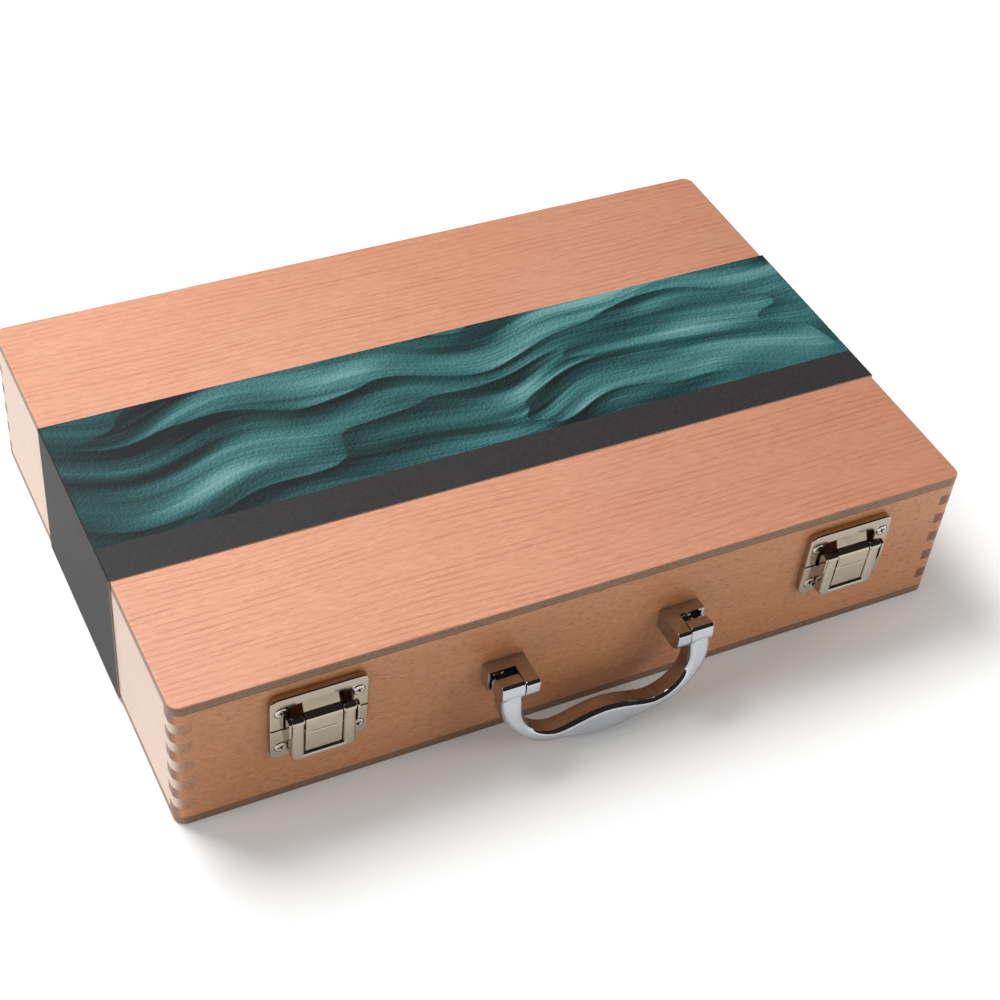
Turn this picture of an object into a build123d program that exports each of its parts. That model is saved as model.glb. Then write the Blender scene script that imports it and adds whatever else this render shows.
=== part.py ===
from build123d import *
import math
import os

# Wooden oil paint box: a shallow hinged case of finger-jointed boards with plywood panels.
# Millimetres. X runs along the front, Y to the back, Z up. The origin is the centre of the underside.

# The case
case_width = 400.0
case_depth = 266.4
base_height = 50.0
lid_height = 29.0
board = 9.0
panel = 5.0
corner_radius = 5.5
panel_edge_round = 0.7
base_fingers = 7
lid_fingers = 4

# Dividers let into the boards of the base
divider = 5.0
divider_height = 40.0
housing = 3.0
cross_housing = 1.5
long_divider_y = 24.0
front_divider_x = 66.0
back_divider_x = 84.0

# Palette held in the lid by two turn buttons
palette_thickness = 4.0
palette_end_gap = 7.0
palette_edge_gap = 1.0
palette_corner = 18.0
palette_below_panel = 14.0
rail_width = 20.0
rail_end_gap = 21.0
thumb_hole_radius = 13.0
thumb_hole_x = 128.0
thumb_hole_y = -48.0
button_long = 18.0
button_short = 6.0
button_width = 11.0
button_thickness = 3.6
button_pivot_inset = 9.5
button_gap = 0.3
button_boss_radius = 4.5
button_screw_radius = 1.5
button_screw_bite = 6.0
button_screw_head = 3.0
button_screw_head_high = 1.4
button_corner = 4.0
button_play = 0.1

# Hinges on the back
hinge_from_side = 82.0
hinge_length = 40.0
leaf_thickness = 1.2
leaf_height = 12.0
knuckle_radius = 2.4
hinge_pin_radius = 1.2
hinge_pin_out = 2.8
knuckle_gap = 0.3
stop_heel_reach = 3.6
stop_heel_thickness = 1.2
hinge_screw_spacing = 26.0
hinge_screw_radius = 1.25
hinge_screw_head = 2.4
hinge_screw_bite = 6.5
hinge_screw_head_high = 1.0
leaf_root = 0.8

# The latches and the handle sit a little to the right of the middle
fittings_shift = 1.3

# Latches on the front
latch_from_side = 64.0
plate_width = 45.8
plate_out = 3.6
plate_sheet = 1.0
plate_corner = 4.0
plate_soften = 0.8
plate_gap = 0.2
catch_height = 19.2
keeper_height = 18.6
arch_width = 28.0
arch_corner = 4.0
arch_rise = 14.0
arch_hollow = 3.5
arch_hollow_inset = 1.0
notch_drop = 7.8
latch_screw_x = 18.0
latch_screw_from_joint = 11.2
latch_screw_radius = 1.6
latch_screw_head = 2.9
latch_screw_bite = 8.0
latch_screw_head_high = 1.3
latch_screw_sunk = 0.9
seat_wall = 0.9
seat_step = 0.4
lever_width = 30.2
lever_drop = 24.5
lever_out = 9.6
lever_depth = 5.4
lever_wall = 1.2
lever_pivot_rise = 7.0
lever_knuckle = 2.4
lever_window = 17.8
lever_foot = 4.3
lever_corner = 3.5
lever_face = 2.0
lever_soften = 1.8
lever_pin_radius = 1.2
lever_pin_reach = 1.2
knuckle_web = 0.6
ear = 1.0
ear_gap = 0.3
ear_eye_step = 0.2
ear_root_in = 1.0
ear_root_drop = 3.0
tongue_gap = 0.4
tongue_sheet = 1.2
tongue_recess = 0.7
tongue_step = 0.2
tongue_bevel = 0.15
tongue_groove = 0.6
tongue_shoulder = 0.8
tongue_pivot_drop = 7.5
tongue_pin_radius = 1.0
tongue_eye = 1.9
tongue_eye_width = 2.5
tongue_foot_tilt = 0.15
tongue_foot_gap = 0.5
tongue_fold_drop = 0.3
tongue_bevel_high = 0.6
tongue_groove_high = 0.9
tongue_shoulder_high = 0.8
tongue_shoulder_in = 0.3
lip_rise = 14.4
lip_fall = 4.5
lip_out = 5.8
lip_side_gap = 0.5
claw_rise = 10.0
claw_gap = 0.4
claw_edge = 0.2

# Carrying handle
post_inner = 35.7
post_outer = 56.0
post_height = 11.6
post_centre_z = 42.5
post_foot = 6.5
post_wall = 1.2
pocket_gap = 0.4
pocket_floor = 1.5
lug_width = 7.0
lug_axis_out = 13.2
lug_corner = 1.8
lug_soften = 0.5
handle_pin_radius = 2.0
handle_pin_set = 2.0
eye_gap = 0.3
eye_width = 11.5
handle_drop = 33.5
handle_bend = 26.0
handle_neck = 6.0
handle_grip = 15.2
handle_corner = 2.8
handle_corner_share = 0.36
handle_bar_step = 0.4
handle_bend_steps = 6
handle_grip_shares = (0.62, 0.3)
handle_neck_from_pivot = 35.0
handle_swell_reach = 30.0
handle_lean = 8.5
handle_screw_radius = 1.75
handle_screw_head = 3.2
handle_screw_bite = 7.0
handle_screw_head_high = 2.0

# Card band wrapped over the lid
band_width = 107.4
band_card = 0.5
band_side_gap = 0.3
band_foot = 1.0
band_fold_round = 0.4

# The cross in a screw's head, in shares of the head's radius and height
recess_depth = 0.9
cross_long_share = 1.15
cross_wide_share = 0.28
cross_deep_share = 0.7
cross_turn = 20
dome_share = 0.6

# Fits
running_fit = 0.05
hole_gap = 0.2

# A hair's breadth, for picking edges by their place and for cuts that start before a face
hair = 0.01

# Places that follow from the sizes above
case_height = base_height + lid_height
front_y = -case_depth / 2
back_y = case_depth / 2
side_x = case_width / 2
inner_x = side_x - board
inner_y = back_y - board
frame_top = case_height - panel
latch_x = side_x - latch_from_side
hinge_x = side_x - hinge_from_side
lever_pivot_z = base_height + lever_pivot_rise
lever_pivot_out = lever_out - lever_knuckle
tongue_pivot_z = lever_pivot_z - tongue_pivot_drop
tongue_pivot_out = lever_out - tongue_recess - tongue_sheet - tongue_eye / 2
eye_inner = post_inner + lug_width + eye_gap
eye_outer = eye_inner + eye_width


def block(x0, x1, y0, y1, z0, z1):
    # A box between two corners.
    return Pos((x0 + x1) / 2, (y0 + y1) / 2, (z0 + z1) / 2) * Box(x1 - x0, y1 - y0, z1 - z0)


def front_block(x0, x1, out0, out1, z0, z1):
    # A box on the front face, measured outwards from it.
    return block(x0, x1, front_y - out1, front_y - out0, z0, z1)


def rod_x(radius, x0, x1, y, z):
    # A round bar along X.
    return Pos((x0 + x1) / 2, y, z) * Rot(0, 90, 0) * Cylinder(radius, x1 - x0)


def rod_y(radius, x, y0, y1, z):
    # A round bar along Y.
    return Pos(x, (y0 + y1) / 2, z) * Rot(90, 0, 0) * Cylinder(radius, y1 - y0)


def side_shape(points, x0, x1):
    # A closed outline of (distance out of the front, height) carried from x0 to x1.
    outline = Polyline(*[(front_y - out, z) for out, z in points], close=True)
    return extrude(Plane.YZ.offset(x0) * make_face(outline), amount=x1 - x0)


def mirrored(shape):
    # The same shape on the other side of the middle.
    return mirror(shape, about=Plane.YZ)


def save(name, *solids):
    # Writes one node, as a single solid or as a group of separate solids.
    shape = solids[0] if len(solids) == 1 else Compound(children=list(solids))
    export_step(shape, f"parts/{name}.step")


def one(shape):
    # The single solid of a fused or cut shape.
    found = shape.solids()
    return found[0] if len(found) == 1 else Compound(children=list(found))


# The case: boards, fingers and panels

def outline_ring(z0, z1):
    # The four walls in one, with rounded outer corners.
    outer = Pos(0, 0, z0) * extrude(RectangleRounded(case_width, case_depth, corner_radius), amount=z1 - z0)
    return outer - block(-inner_x, inner_x, -inner_y, inner_y, z0, z1)


def frame_boards(z0, z1, count, side_first):
    # Front, back, left and right boards that interlock with fingers at the corners.
    pitch = (z1 - z0) / count
    side_fingers = [i for i in range(count) if (i % 2 == 0) == side_first]
    long_fingers = [i for i in range(count) if i not in side_fingers]

    def finger_cells(levels):
        cells = []
        for i in levels:
            low = z0 + i * pitch
            for sx in (-1, 1):
                for sy in (-1, 1):
                    x0, x1 = sorted((sx * inner_x, sx * side_x))
                    y0, y1 = sorted((sy * inner_y, sy * back_y))
                    cells.append(block(x0, x1, y0, y1, low, low + pitch))
        return cells

    ring = outline_ring(z0, z1)
    long_walls = ring
    side_walls = ring
    for cell in finger_cells(side_fingers):
        long_walls = long_walls - cell
    for cell in finger_cells(long_fingers):
        side_walls = side_walls - cell
    front = long_walls & block(-side_x, side_x, front_y, -inner_y, z0, z1)
    back = long_walls & block(-side_x, side_x, inner_y, back_y, z0, z1)
    left = side_walls & block(-side_x, -inner_x, front_y, back_y, z0, z1)
    right = side_walls & block(inner_x, side_x, front_y, back_y, z0, z1)
    return front, back, left, right


def flat_panel(z0, z1, edge_z):
    # A plywood panel over the whole outline, its outer face lightly rounded at the edge.
    plate = Pos(0, 0, z0) * extrude(RectangleRounded(case_width, case_depth, corner_radius), amount=z1 - z0)
    rim = plate.edges().filter_by_position(Axis.Z, edge_z - hair, edge_z + hair)
    return fillet(rim, panel_edge_round)


# Screws

def cross_screw(head, shank, bite, seat_out, head_high):
    # A round-headed screw along +Z: its seat is at z=seat_out and its tip at z=-bite.
    top = seat_out + head_high
    body = Pos(0, 0, (seat_out - bite) / 2) * Cylinder(shank, seat_out + bite)
    cap = Pos(0, 0, seat_out + head_high / 2) * Cylinder(head, head_high)
    cap = fillet(cap.edges().filter_by_position(Axis.Z, top - hair, top + hair), head_high * dome_share)
    slot_long = head * cross_long_share
    slot_wide = head * cross_wide_share
    deep = min(recess_depth, head_high * cross_deep_share)
    for turn in (0, 90):
        cap = cap - Pos(0, 0, top - deep / 2) * Rot(0, 0, turn + cross_turn) * Box(slot_long, slot_wide, deep)
    return one(body + cap)


def on_front(shape, x, z):
    # Sets a +Z shape on the front face, pointing outwards.
    return Pos(x, front_y, z) * Rot(90, 0, 0) * shape


def on_back(shape, x, z):
    # Sets a +Z shape on the back face, pointing outwards.
    return Pos(x, back_y, z) * Rot(-90, 0, 0) * shape


def front_pilot(radius, bite, x, z):
    # The hole that a screw fills in a front board.
    return rod_y(radius, x, front_y, front_y + bite, z)


def back_pilot(radius, bite, x, z):
    # The hole that a screw fills in a back board.
    return rod_y(radius, x, back_y - bite, back_y, z)


# Hinges

hinge_screw_z_base = base_height - knuckle_radius - leaf_height / 2
hinge_screw_z_lid = base_height + knuckle_radius + leaf_height / 2


def hinge_screw_places(z):
    # Two screws to a leaf, on both hinges.
    places = []
    for centre in (-hinge_x, hinge_x):
        for side in (-1, 1):
            places.append((centre + side * hinge_screw_spacing / 2, z))
    return places


def hinge_leaf(centre, upper):
    # One leaf of a hinge: the lower has the two outer knuckles, the upper the middle one.
    sign = 1 if upper else -1
    half = hinge_length / 2
    third = hinge_length / 6
    axis_y = back_y + hinge_pin_out
    near = base_height + sign * (knuckle_radius + knuckle_gap)
    far = base_height + sign * (knuckle_radius + leaf_height)
    z0, z1 = sorted((near, far))
    leaf = block(centre - half, centre + half, back_y, back_y + leaf_thickness, z0, z1)
    if upper:
        spans = [(-third, third)]
    else:
        spans = [(-half, -third - knuckle_gap), (third + knuckle_gap, half)]
    for low, high in spans:
        leaf = leaf + rod_x(knuckle_radius, centre + low, centre + high, axis_y, base_height)
        z2, z3 = sorted((base_height + sign * leaf_root, near))
        leaf = leaf + block(centre + low, centre + high, back_y, back_y + leaf_thickness, z2, z3)
    if upper:
        heel_z = stop_heel_thickness / 2
        leaf = leaf + block(centre - third, centre + third, axis_y, axis_y + stop_heel_reach,
                            base_height - heel_z, base_height + heel_z)
        leaf = leaf - rod_x(hinge_pin_radius + running_fit, centre - half, centre + half, axis_y, base_height)
    else:
        leaf = leaf - rod_x(hinge_pin_radius, centre - half, centre + half, axis_y, base_height)
    hole_z = hinge_screw_z_lid if upper else hinge_screw_z_base
    for side in (-1, 1):
        hole_x = centre + side * hinge_screw_spacing / 2
        leaf = leaf - rod_y(hinge_screw_radius + hole_gap, hole_x, back_y, back_y + leaf_thickness, hole_z)
    return one(leaf)


def hinge_pin(centre):
    # The pin, fast in the lower leaf and free in the upper one.
    half = hinge_length / 2
    return rod_x(hinge_pin_radius, centre - half, centre + half, back_y + hinge_pin_out, base_height)


# Latches. Each function draws the latch about x=0, and the caller shifts it along the front.

catch_z0 = base_height + plate_gap
catch_z1 = catch_z0 + catch_height
keeper_z1 = base_height - plate_gap
keeper_z0 = keeper_z1 - keeper_height
catch_screw_z = base_height + latch_screw_from_joint
keeper_screw_z = base_height - latch_screw_from_joint
head_seat = plate_out - latch_screw_sunk


def pressed_plate(z0, z1, round_top, screw_z):
    # A pressed pan: a raised face on side walls, with two rounded corners and sunk screw seats.
    half = plate_width / 2
    pan = front_block(-half, half, 0, plate_out, z0, z1)
    corner_z = z1 if round_top else z0
    corners = pan.edges().filter_by(Axis.Y).filter_by_position(Axis.Z, corner_z - hair, corner_z + hair)
    pan = fillet(corners, plate_corner)
    face_y = front_y - plate_out
    front_edges = pan.edges().filter_by_position(Axis.Y, face_y - hair, face_y + hair)
    pan = fillet(front_edges, plate_soften)
    wall = plate_sheet
    inside = front_block(-half + wall, half - wall, 0, plate_out - plate_sheet, z0 + wall, z1 - wall)
    inside_z = z1 - wall if round_top else z0 + wall
    inner_corners = inside.edges().filter_by(Axis.Y)
    inner_corners = inner_corners.filter_by_position(Axis.Z, inside_z - hair, inside_z + hair)
    pan = pan - fillet(inner_corners, plate_corner - wall)
    for side in (-1, 1):
        x = side * latch_screw_x
        pan = pan + rod_y(latch_screw_head + seat_wall, x, front_y - plate_out + seat_step, front_y, screw_z)
    for side in (-1, 1):
        x = side * latch_screw_x
        pan = pan - rod_y(latch_screw_head + hole_gap, x, front_y - plate_out, front_y - head_seat, screw_z)
        pan = pan - rod_y(latch_screw_radius + hole_gap, x, front_y - plate_out, front_y, screw_z)
    return pan


def catch_plate():
    # The lid's plate: an arch open at its foot, with a lip bent out from the top of the opening.
    plate = pressed_plate(catch_z0, catch_z1, True, catch_screw_z)
    lip_z = base_height + lip_rise
    arch_z = base_height + arch_rise
    arch = front_block(-arch_width / 2, arch_width / 2, 0, plate_out, catch_z0, arch_z)
    top_edges = arch.edges().filter_by(Axis.Y).filter_by_position(Axis.Z, arch_z - hair, arch_z + hair)
    plate = plate - fillet(top_edges, arch_corner)
    lip_half = lever_window / 2 - lip_side_gap
    slant = math.atan2(lip_fall, lip_out - plate_out)
    inward = plate_sheet * math.sin(slant)
    under = plate_sheet * math.cos(slant)
    foot_z = lip_z - lip_fall
    outline = [(plate_out - plate_sheet, lip_z), (plate_out, lip_z), (lip_out, foot_z)]
    outline += [(lip_out - inward, foot_z - under), (plate_out - inward, lip_z - under)]
    outline.append((plate_out - plate_sheet, lip_z - plate_sheet))
    return one(plate + side_shape(outline, -lip_half, lip_half))


def keeper_plate():
    # The base's plate, notched behind the lever, with two ears that stand up and carry the lever.
    plate = pressed_plate(keeper_z0, keeper_z1, False, keeper_screw_z)
    notch_z = keeper_z1 - notch_drop
    plate = plate - front_block(-arch_width / 2, arch_width / 2, 0, plate_out, notch_z, keeper_z1)
    inner = lever_width / 2 + ear_gap
    eye = lever_knuckle - ear_eye_step
    near = lever_pivot_out - eye
    far = lever_pivot_out + eye
    root_z = keeper_screw_z + latch_screw_head + 2 * hole_gap
    outline = [(0, root_z), (plate_out, root_z), (far - ear_root_in, keeper_z1 - ear_root_drop)]
    outline.append((far, keeper_z1))
    outline += [(far, lever_pivot_z), (near, lever_pivot_z), (near, keeper_z1), (0, keeper_z1)]
    for x0 in (-inner - ear, inner):
        ear_plate = side_shape(outline, x0, x0 + ear)
        ear_plate = ear_plate + rod_x(eye, x0, x0 + ear, front_y - lever_pivot_out, lever_pivot_z)
        plate = plate + ear_plate
    hole = rod_x(lever_pin_radius, -lever_width, lever_width, front_y - lever_pivot_out, lever_pivot_z)
    return one(plate - hole)


def arch_hollow_tool(x):
    # The shallow hollow cut in the lid's board behind the arch, which gives the lip room.
    half = arch_width / 2 - arch_hollow_inset
    z0 = base_height + 2 * arch_hollow_inset
    return front_block(x - half, x + half, -arch_hollow, 0, z0, base_height + arch_rise - arch_hollow_inset)


def lever_pins():
    # Two short pins, fast in the ears and free in the lever, that leave the middle open.
    end = lever_width / 2 + ear_gap + ear
    start = lever_width / 2 - lever_wall - lever_pin_reach
    y = front_y - lever_pivot_out
    return [rod_x(lever_pin_radius, side * start if side > 0 else -end, end if side > 0 else -start, y,
                  lever_pivot_z) for side in (-1, 1)]


def latch_lever():
    # A U-shaped pressed frame on two round knuckles, open at the top for the tongue.
    half = lever_width / 2
    window_half = lever_window / 2
    foot_z = lever_pivot_z - lever_drop
    back_out = lever_out - lever_depth
    y = front_y - lever_pivot_out
    face_y = front_y - lever_out
    body = front_block(-half, half, back_out, lever_out, foot_z, lever_pivot_z)
    foot_edges = body.edges().filter_by(Axis.Y).filter_by_position(Axis.Z, foot_z - hair, foot_z + hair)
    body = fillet(foot_edges, lever_corner)
    body = body - front_block(-window_half, window_half, 0, lever_out, foot_z + lever_foot, lever_pivot_z)
    face_edges = body.edges().filter_by_position(Axis.Y, face_y - hair, face_y + hair)
    body = fillet([edge for edge in face_edges if edge.center().Z < lever_pivot_z - hair], lever_soften)
    hollow_z0 = foot_z + lever_wall
    hollow = front_block(-half + lever_wall, half - lever_wall, 0, lever_out - lever_face, hollow_z0,
                         lever_pivot_z - lever_knuckle - knuckle_web)
    hollow_edges = hollow.edges().filter_by(Axis.Y)
    hollow_edges = hollow_edges.filter_by_position(Axis.Z, hollow_z0 - hair, hollow_z0 + hair)
    body = body - fillet(hollow_edges, lever_corner - lever_wall)
    for x0, x1 in ((-half, -window_half), (window_half, half)):
        knuckle = rod_x(lever_knuckle, x0, x1, y, lever_pivot_z)
        body = body + fillet(knuckle.edges().filter_by(GeomType.CIRCLE), lever_soften / 2)
    body = body - rod_x(lever_pin_radius + running_fit, -half, half, y, lever_pivot_z)
    body = body - rod_x(tongue_pin_radius, -half, half, front_y - tongue_pivot_out, tongue_pivot_z)
    return one(body)


def tongue_pin():
    # The cross pin that joins the tongue to the lever.
    half = lever_width / 2
    return rod_x(tongue_pin_radius, -half, half, front_y - tongue_pivot_out, tongue_pivot_z)


def latch_tongue():
    # The plate in the lever's window: a groove at mid height and a claw that slopes in to the lip.
    half = lever_window / 2 - tongue_gap
    foot_z = lever_pivot_z - lever_drop + lever_foot + tongue_foot_gap
    fold_z = tongue_pivot_z - tongue_fold_drop
    shoulder_z = lever_pivot_z + tongue_shoulder
    claw_z = base_height + claw_rise
    claw_out = lip_out + claw_gap
    face = lever_out - tongue_recess
    rear = face - tongue_sheet
    low_face = face - tongue_step
    foot = low_face - tongue_foot_tilt
    bevel_z = fold_z - tongue_bevel_high
    groove = low_face - tongue_groove
    outline = [(foot, foot_z), (low_face, bevel_z), (low_face - tongue_bevel, fold_z), (groove, fold_z)]
    groove_z = fold_z + tongue_groove_high
    outline += [(groove, groove_z), (face, groove_z), (face, shoulder_z - tongue_shoulder_high)]
    outline += [(face - tongue_shoulder_in, shoulder_z), (claw_out + claw_edge, claw_z)]
    outline.append((claw_out, claw_z - claw_edge))
    outline += [(claw_out, claw_z - tongue_sheet), (rear, shoulder_z - tongue_sheet), (rear, fold_z)]
    outline += [(low_face - tongue_sheet, fold_z - tongue_step), (foot - tongue_sheet, foot_z)]
    plate = side_shape(outline, -half, half)
    y = front_y - tongue_pivot_out
    for x0 in (-half, half - tongue_eye_width):
        plate = plate + rod_x(tongue_eye, x0, x0 + tongue_eye_width, y, tongue_pivot_z)
    return one(plate - rod_x(tongue_pin_radius + running_fit, -half, half, y, tongue_pivot_z))


# Handle

def pivot_end(x0, x1, y, z):
    # A pivot's end: round behind and below, with a flat top and a tight front corner.
    radius = post_height / 2
    top = block(x0, x1, y - radius, y, z, z + radius)
    corner = top.edges().filter_by(Axis.X).filter_by_position(Axis.Y, y - radius - hair, y - radius + hair)
    top = fillet(corner.filter_by_position(Axis.Z, z + radius - hair, z + radius + hair), lug_corner)
    return rod_x(radius, x0, x1, y, z) + top


def handle_post():
    # The right post: a foot with a pocket for its screw, and a lug that carries the pivot.
    z0 = post_centre_z - post_height / 2
    z1 = post_centre_z + post_height / 2
    radius = post_height / 2
    lug_outer = post_inner + lug_width
    foot = front_block(post_inner, post_outer, 0, post_foot, z0, z1)
    foot = foot - front_block(lug_outer + pocket_gap, post_outer - post_wall, pocket_floor, post_foot,
                              z0 + post_wall, z1 - post_wall)
    lug = front_block(post_inner, lug_outer, 0, lug_axis_out, z0, z1)
    lug = lug + pivot_end(post_inner, lug_outer, front_y - lug_axis_out, post_centre_z)
    y = front_y - lug_axis_out
    middle = post_inner + lug_width / 2
    ends = lug.edges().filter_by_position(Axis.Y, y - radius, y + hair)
    ends = [edge for edge in ends if abs(edge.center().X - middle) > lug_width / 2 - hair]
    lug = fillet(ends, lug_soften)
    post = foot + lug
    post = post - rod_x(handle_pin_radius, post_inner + handle_pin_set, post_outer, y, post_centre_z)
    hole_radius = handle_screw_radius + hole_gap
    hole = rod_y(hole_radius, handle_screw_x(), front_y - post_foot, front_y, post_centre_z)
    return one(post - hole)


def handle_screw_x():
    # The screw stands in the middle of the post's pocket.
    return (post_inner + lug_width + pocket_gap + post_outer - post_wall) / 2


def handle_pin():
    # The right pivot pin, fast in the lug and free in the handle's eye.
    end = eye_outer - handle_pin_set - eye_gap
    return rod_x(handle_pin_radius, post_inner + handle_pin_set, end, front_y - lug_axis_out, post_centre_z)


def handle_width(distance, x):
    # The bar's width in its own plane: wide at the eye, slim at the bend, full in the grip.
    if x < handle_swell_reach:
        swell = (1 + math.cos(math.pi * x / handle_swell_reach)) / 2
        return handle_neck + (handle_grip - handle_neck) * swell
    taper = min(distance / handle_neck_from_pivot, 1)
    return handle_neck + (eye_width - handle_neck) * (1 + math.cos(math.pi * taper)) / 2


def handle_stations():
    # Points down the right half of the bar: x, drop below the pivot, slope and width.
    arm_x = (eye_inner + eye_outer) / 2
    straight = handle_drop - handle_bend
    stations = [(arm_x, 0, 0, eye_width), (arm_x, straight, 0, handle_width(straight, arm_x))]
    bend_x = arm_x - handle_bend
    for step in range(1, handle_bend_steps + 1):
        slope = 90 * step / handle_bend_steps
        turn = math.radians(slope)
        x = bend_x + handle_bend * math.cos(turn)
        drop = straight + handle_bend * math.sin(turn)
        stations.append((x, drop, slope, handle_width(straight + handle_bend * turn, x)))
    for share in handle_grip_shares:
        stations.append((bend_x * share, handle_drop, 90, handle_width(0, bend_x * share)))
    return stations


def handle_section(x, drop, slope, width):
    # One rounded cross section, square to the bar.
    turn = math.radians(slope)
    across = (math.cos(turn), 0, -math.sin(turn))
    along = (-math.sin(turn), 0, -math.cos(turn))
    place = Plane(origin=(x, 0, -drop), x_dir=across, z_dir=along)
    corner = min(handle_corner_share * width, handle_corner)
    return place * RectangleRounded(width, post_height - handle_bar_step, corner)


def handle_bar():
    # The whole bar with an eye at each end, hung from the pivots and leaning a little outwards.
    right = handle_stations()
    sections = [handle_section(*station) for station in right]
    sections.append(handle_section(0, handle_drop, 90, handle_grip))
    for x, drop, slope, width in reversed(right):
        sections.append(handle_section(-x, drop, 180 - slope, width))
    bar = loft(sections)
    for x0 in (eye_inner, -eye_outer):
        end = pivot_end(x0, x0 + eye_width, 0, 0)
        middle = x0 + eye_width / 2
        rims = [edge for edge in end.edges() if abs(edge.center().X - middle) > eye_width / 2 - hair]
        bar = bar + fillet(rims, lug_soften)
    for side in (-1, 1):
        x0, x1 = sorted((side * eye_inner, side * (eye_outer - handle_pin_set)))
        bar = bar - rod_x(handle_pin_radius + running_fit, x0 - hair, x1, 0, 0)
    return one(Pos(fittings_shift, front_y - lug_axis_out, post_centre_z) * Rot(-handle_lean, 0, 0) * bar)


# Palette and turn buttons

palette_z1 = frame_top - palette_below_panel
palette_z0 = palette_z1 - palette_thickness
button_y = inner_y - button_pivot_inset
palette_width = 2 * (button_y - button_boss_radius - palette_edge_gap)


def palette():
    # A thin wooden palette with a thumb hole.
    length = 2 * (inner_x - palette_end_gap)
    shape = extrude(RectangleRounded(length, palette_width, palette_corner), amount=palette_thickness)
    hole = Cylinder(thumb_hole_radius, palette_thickness)
    shape = shape - Pos(thumb_hole_x, thumb_hole_y, palette_thickness / 2) * hole
    return Pos(0, 0, palette_z0) * shape


def palette_rail(side):
    # A rail glued along a lid board, that the palette rests against.
    y0, y1 = sorted((side * (inner_y - rail_width), side * inner_y))
    rail_end = inner_x - rail_end_gap
    rail = block(-rail_end, rail_end, y0, y1, palette_z1, frame_top)
    pilot = Cylinder(button_screw_radius, button_screw_bite)
    return rail - Pos(0, side * button_y, palette_z1 + button_screw_bite / 2) * pilot


def turn_button(side):
    # A stepped wooden button: its boss meets the rail and its arm reaches under the palette.
    top = palette_z0 - button_gap
    low = top - button_thickness
    y0, y1 = sorted((side * (button_y - button_long), side * (button_y + button_short)))
    arm = block(-button_width / 2, button_width / 2, y0, y1, low, top)
    arm = fillet(arm.edges().filter_by(Axis.Z), button_corner)
    boss_high = palette_z1 - top - button_play
    boss = Pos(0, side * button_y, top + boss_high / 2) * Cylinder(button_boss_radius, boss_high)
    hole = Pos(0, side * button_y, top) * Cylinder(button_screw_radius + running_fit, 4 * button_thickness)
    return one(arm + boss - hole)


def turn_button_screw(side):
    # The screw that a button turns on, driven up into the rail.
    seat = palette_z0 - button_gap - button_thickness - button_play
    bite = palette_z1 + button_screw_bite - seat
    screw = cross_screw(button_screw_head, button_screw_radius, bite, 0, button_screw_head_high)
    return Pos(0, side * button_y, seat) * Rot(180, 0, 0) * screw


# Dividers

divider_z1 = panel + divider_height
long_y0 = long_divider_y - divider / 2
long_y1 = long_divider_y + divider / 2


def cross_divider(x, y0, y1):
    # A divider across the box, let into what it meets at each end.
    return block(x - divider / 2, x + divider / 2, y0, y1, panel, divider_z1)


def long_divider_tool():
    # The space of the long divider, with its ends in the side boards.
    return block(-inner_x - housing, inner_x + housing, long_y0, long_y1, panel, divider_z1)


front_dividers = [cross_divider(x, -inner_y - housing, long_y0 + cross_housing)
                  for x in (-front_divider_x, front_divider_x)]
back_divider = cross_divider(back_divider_x, long_y1 - cross_housing, inner_y + housing)


def make_base():
    # Boards, bottom panel and dividers of the base.
    front, back, left, right = frame_boards(panel, base_height, base_fingers, False)
    long_divider = long_divider_tool()
    left = left - long_divider
    right = right - long_divider
    for tool in front_dividers:
        front = front - tool
        long_divider = long_divider - tool
    back = back - back_divider
    long_divider = long_divider - back_divider
    for x in (fittings_shift - latch_x, fittings_shift + latch_x):
        for side in (-1, 1):
            screw_x = x + side * latch_screw_x
            front = front - front_pilot(latch_screw_radius, latch_screw_bite, screw_x, keeper_screw_z)
    for side in (-1, 1):
        x = fittings_shift + side * handle_screw_x()
        front = front - front_pilot(handle_screw_radius, handle_screw_bite, x, post_centre_z)
    for x, z in hinge_screw_places(hinge_screw_z_base):
        back = back - back_pilot(hinge_screw_radius, hinge_screw_bite, x, z)
    save("base_front_board", one(front))
    save("base_back_board", one(back))
    save("base_left_board", one(left))
    save("base_right_board", one(right))
    save("base_bottom_panel", one(flat_panel(0, panel, 0)))
    save("long_divider", one(long_divider))
    save("front_divider_left", one(front_dividers[0]))
    save("front_divider_right", one(front_dividers[1]))
    save("back_divider", one(back_divider))


def make_lid():
    # Boards and top panel of the lid, with the palette and what holds it.
    front, back, left, right = frame_boards(base_height, frame_top, lid_fingers, True)
    for x in (fittings_shift - latch_x, fittings_shift + latch_x):
        for side in (-1, 1):
            screw_x = x + side * latch_screw_x
            front = front - front_pilot(latch_screw_radius, latch_screw_bite, screw_x, catch_screw_z)
        front = front - arch_hollow_tool(x)
    for x, z in hinge_screw_places(hinge_screw_z_lid):
        back = back - back_pilot(hinge_screw_radius, hinge_screw_bite, x, z)
    save("lid_front_board", one(front))
    save("lid_back_board", one(back))
    save("lid_left_board", one(left))
    save("lid_right_board", one(right))
    save("lid_top_panel", one(flat_panel(frame_top, case_height, case_height)))
    save("palette", one(palette()))
    save("palette_rail_front", one(palette_rail(-1)))
    save("palette_rail_back", one(palette_rail(1)))
    save("turn_button_front", turn_button(-1))
    save("turn_button_back", turn_button(1))
    save("turn_button_screws", turn_button_screw(-1), turn_button_screw(1))


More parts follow.
